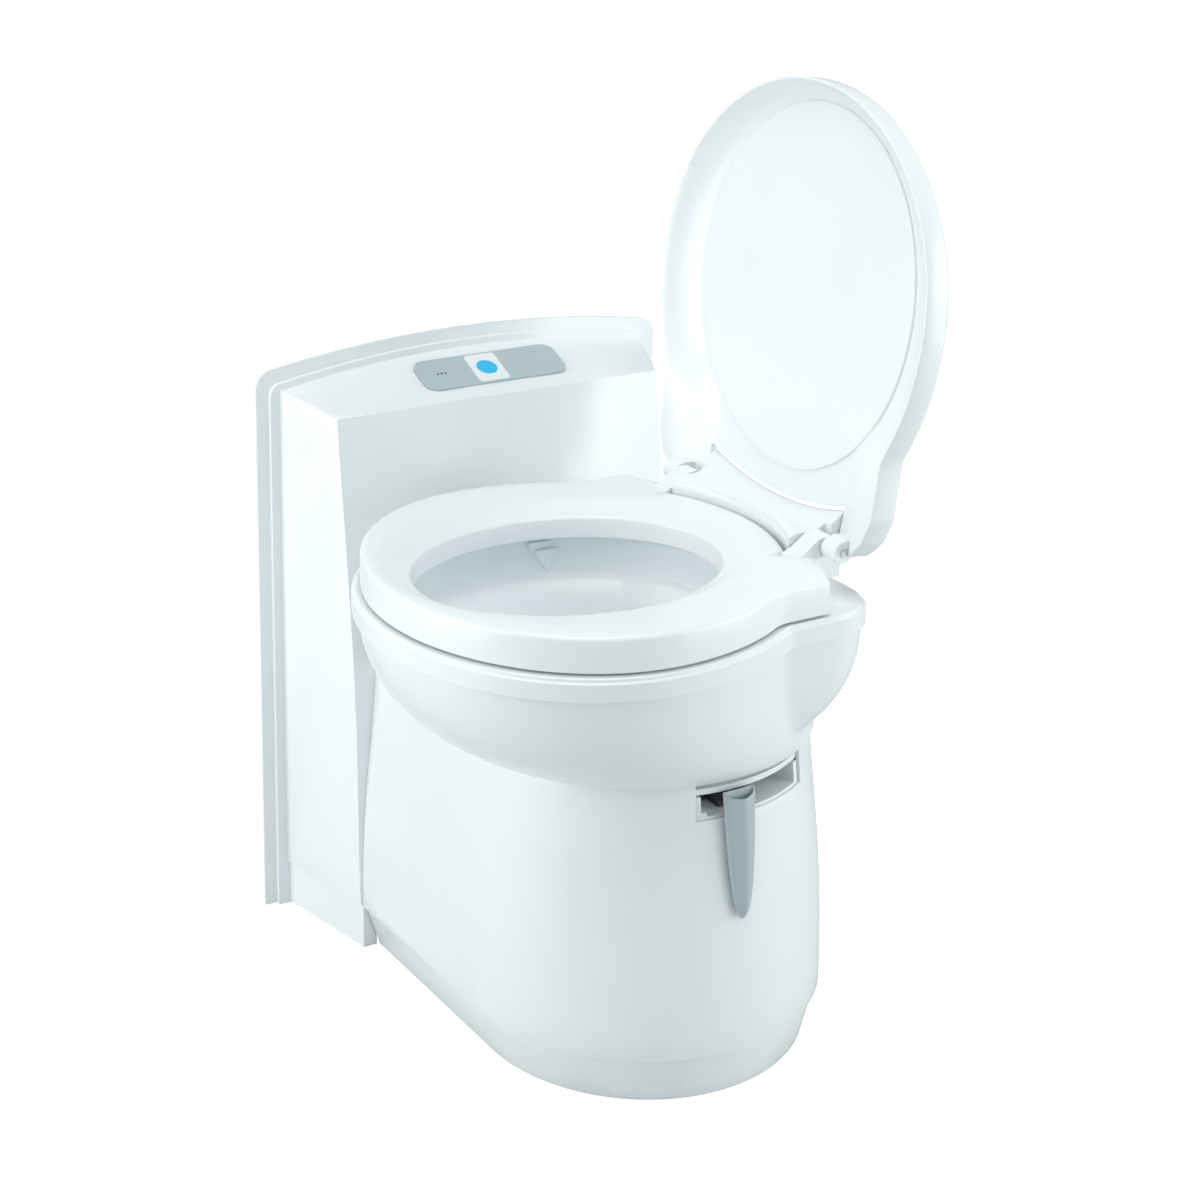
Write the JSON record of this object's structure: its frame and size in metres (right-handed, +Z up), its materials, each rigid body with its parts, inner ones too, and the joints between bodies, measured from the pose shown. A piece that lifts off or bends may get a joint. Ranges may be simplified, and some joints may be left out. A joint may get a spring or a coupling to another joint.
{
  "type": "cassette toilet",
  "caption": "Wall-backed cassette toilet: swivelling egg-shaped bowl with seat and raised lid on a pedestal, valve lever, and a wheeled waste tank that slides out at the back.",
  "frame": {"origin": "on the floor, on the bowl's swivel axis", "axes": "+Z up, +Y towards the wall behind the console, +X to the side the bowl's hinge faces in the rest pose"},
  "size_m": [0.5859, 0.648, 1.0263],
  "materials": {
    "white_plastic": "glossy moulded",
    "white_satin": "satin moulded",
    "grey_plastic": "satin moulded",
    "panel_grey": "fine matt",
    "button_blue": "glossy",
    "dark_plastic": "matt",
    "basin_white": "high gloss",
    "steel": "brushed",
    "seal_rubber": "matt",
    "circuit_green": "coated",
    "tank_grey": "blow-moulded",
    "lamp": "translucent",
    "hose_grey": "matt",
    "float_foam": "closed foam"
  },
  "bodies": {
    "base": {"wall_flange": "white_plastic", "console_housing": "white_plastic", "console_plinth": "white_satin", "console_frame": "grey_plastic", "pedestal_shell": "white_plastic", "toe_plinth": "white_plastic", "base_pan": "grey_plastic", "tank_rails": "grey_plastic", "swivel_deck": "white_satin", "bearing_ring": "dark_plastic", "deck_screws": "steel", "pedestal_screws": "steel", "lever_guide": "dark_plastic", "slot_trim": "white_satin", "control_panel": "panel_grey", "button_plate": "white_plastic", "level_lamps": "lamp", "circuit_board": "circuit_green", "flush_valve": "dark_plastic", "flush_hose": "hose_grey", "power_cable": "seal_rubber", "level_sensor": "dark_plastic", "catch_bracket": "grey_plastic"},
    "bowl": {"bowl_shell": "white_plastic", "bowl_liner": "basin_white", "outlet_neck": "white_satin", "swivel_retainer": "dark_plastic", "hinge_bridge": "white_plastic", "hinge_cover": "white_plastic", "hinge_pins": "steel", "flush_nozzle": "white_plastic", "bowl_hose": "hose_grey"},
    "seat": {"seat": "white_plastic", "seat_bumpers": "seal_rubber"},
    "lid": {"lid_shell": "white_plastic", "lid_panel": "white_plastic"},
    "lever": {"lever_carrier": "dark_plastic", "valve_lever": "grey_plastic"},
    "button": {"flush_button": "button_blue"},
    "catch": {"tank_catch": "grey_plastic"},
    "tank": {"tank_shell": "tank_grey", "valve_housing": "dark_plastic", "mouth_ring": "dark_plastic", "lip_seal": "seal_rubber", "handle_guides": "tank_grey", "wheel_axles": "steel", "float_bracket": "grey_plastic"},
    "blade": {"valve_blade": "grey_plastic", "drive_gear": "grey_plastic"},
    "vent": {"vent_plunger": "grey_plastic"},
    "spout": {"spout": "tank_grey"},
    "cap": {"spout_cap": "dark_plastic"},
    "handle": {"pull_handle": "grey_plastic"},
    "wheel_right": {"right_wheel": "seal_rubber"},
    "wheel_left": {"left_wheel": "seal_rubber"},
    "float": {"level_float": "float_foam"}
  },
  "joints": [
    {"name": "bowl_swivel", "type": "hinge", "parent": "base", "child": "bowl", "pos_m": [0, 0, 0.338], "axis": [0, 0, 1], "range_deg": [0, 180]},
    {"name": "seat_hinge", "type": "hinge", "parent": "bowl", "child": "seat", "pos_m": [0.147, 0, 0.552], "axis": [0, -1, 0], "range_deg": [-95, 0]},
    {"name": "lid_hinge", "type": "hinge", "parent": "bowl", "child": "lid", "pos_m": [0.147, 0, 0.552], "axis": [0, -1, 0], "range_deg": [0, 98]},
    {"name": "lever_swing", "type": "hinge", "parent": "base", "child": "lever", "pos_m": [0, 0, 0.32], "axis": [0, 0, 1], "range_deg": [0, 24]},
    {"name": "blade_swing", "type": "hinge", "parent": "tank", "child": "blade", "pos_m": [0, -0.0825, 0.29], "axis": [0, 0, 1], "range_deg": [0, 90]},
    {"name": "button_press", "type": "slide", "parent": "base", "child": "button", "axis": [0, 0.3927, -0.9197], "range_m": [0, 0.002], "stiffness_N_per_m": 400},
    {"name": "tank_slide", "type": "slide", "parent": "base", "child": "tank", "axis": [0, 1, 0], "range_m": [0, 0.6]},
    {"name": "spout_swing", "type": "hinge", "parent": "tank", "child": "spout", "pos_m": [-0.118, 0.252, 0.095], "axis": [0, -1, 0], "range_deg": [0, 95]},
    {"name": "cap_turn", "type": "hinge", "parent": "spout", "child": "cap", "pos_m": [-0.011, 0.302, 0.095], "axis": [1, 0, 0], "continuous": true},
    {"name": "handle_slide", "type": "slide", "parent": "tank", "child": "handle", "axis": [0, 1, 0], "range_m": [0, 0.12]},
    {"name": "wheel_right_spin", "type": "hinge", "parent": "tank", "child": "wheel_right", "pos_m": [0.134, -0.07, 0.039], "axis": [1, 0, 0], "continuous": true},
    {"name": "wheel_left_spin", "type": "hinge", "parent": "tank", "child": "wheel_left", "pos_m": [-0.134, -0.07, 0.039], "axis": [1, 0, 0], "continuous": true},
    {"name": "vent_press", "type": "slide", "parent": "tank", "child": "vent", "axis": [0, 0, -1], "range_m": [0, 0.003], "stiffness_N_per_m": 300},
    {"name": "float_swing", "type": "hinge", "parent": "tank", "child": "float", "pos_m": [0.068, 0.19, 0.178], "axis": [1, 0, 0], "range_deg": [-9, 8]},
    {"name": "catch_swing", "type": "hinge", "parent": "base", "child": "catch", "pos_m": [0, 0.302, 0.012], "axis": [-1, 0, 0], "range_deg": [0, 25]}
  ],
  "couplings": [
    {"joint": "blade_swing", "follows": "lever_swing", "ratio": 3.75}
  ]
}
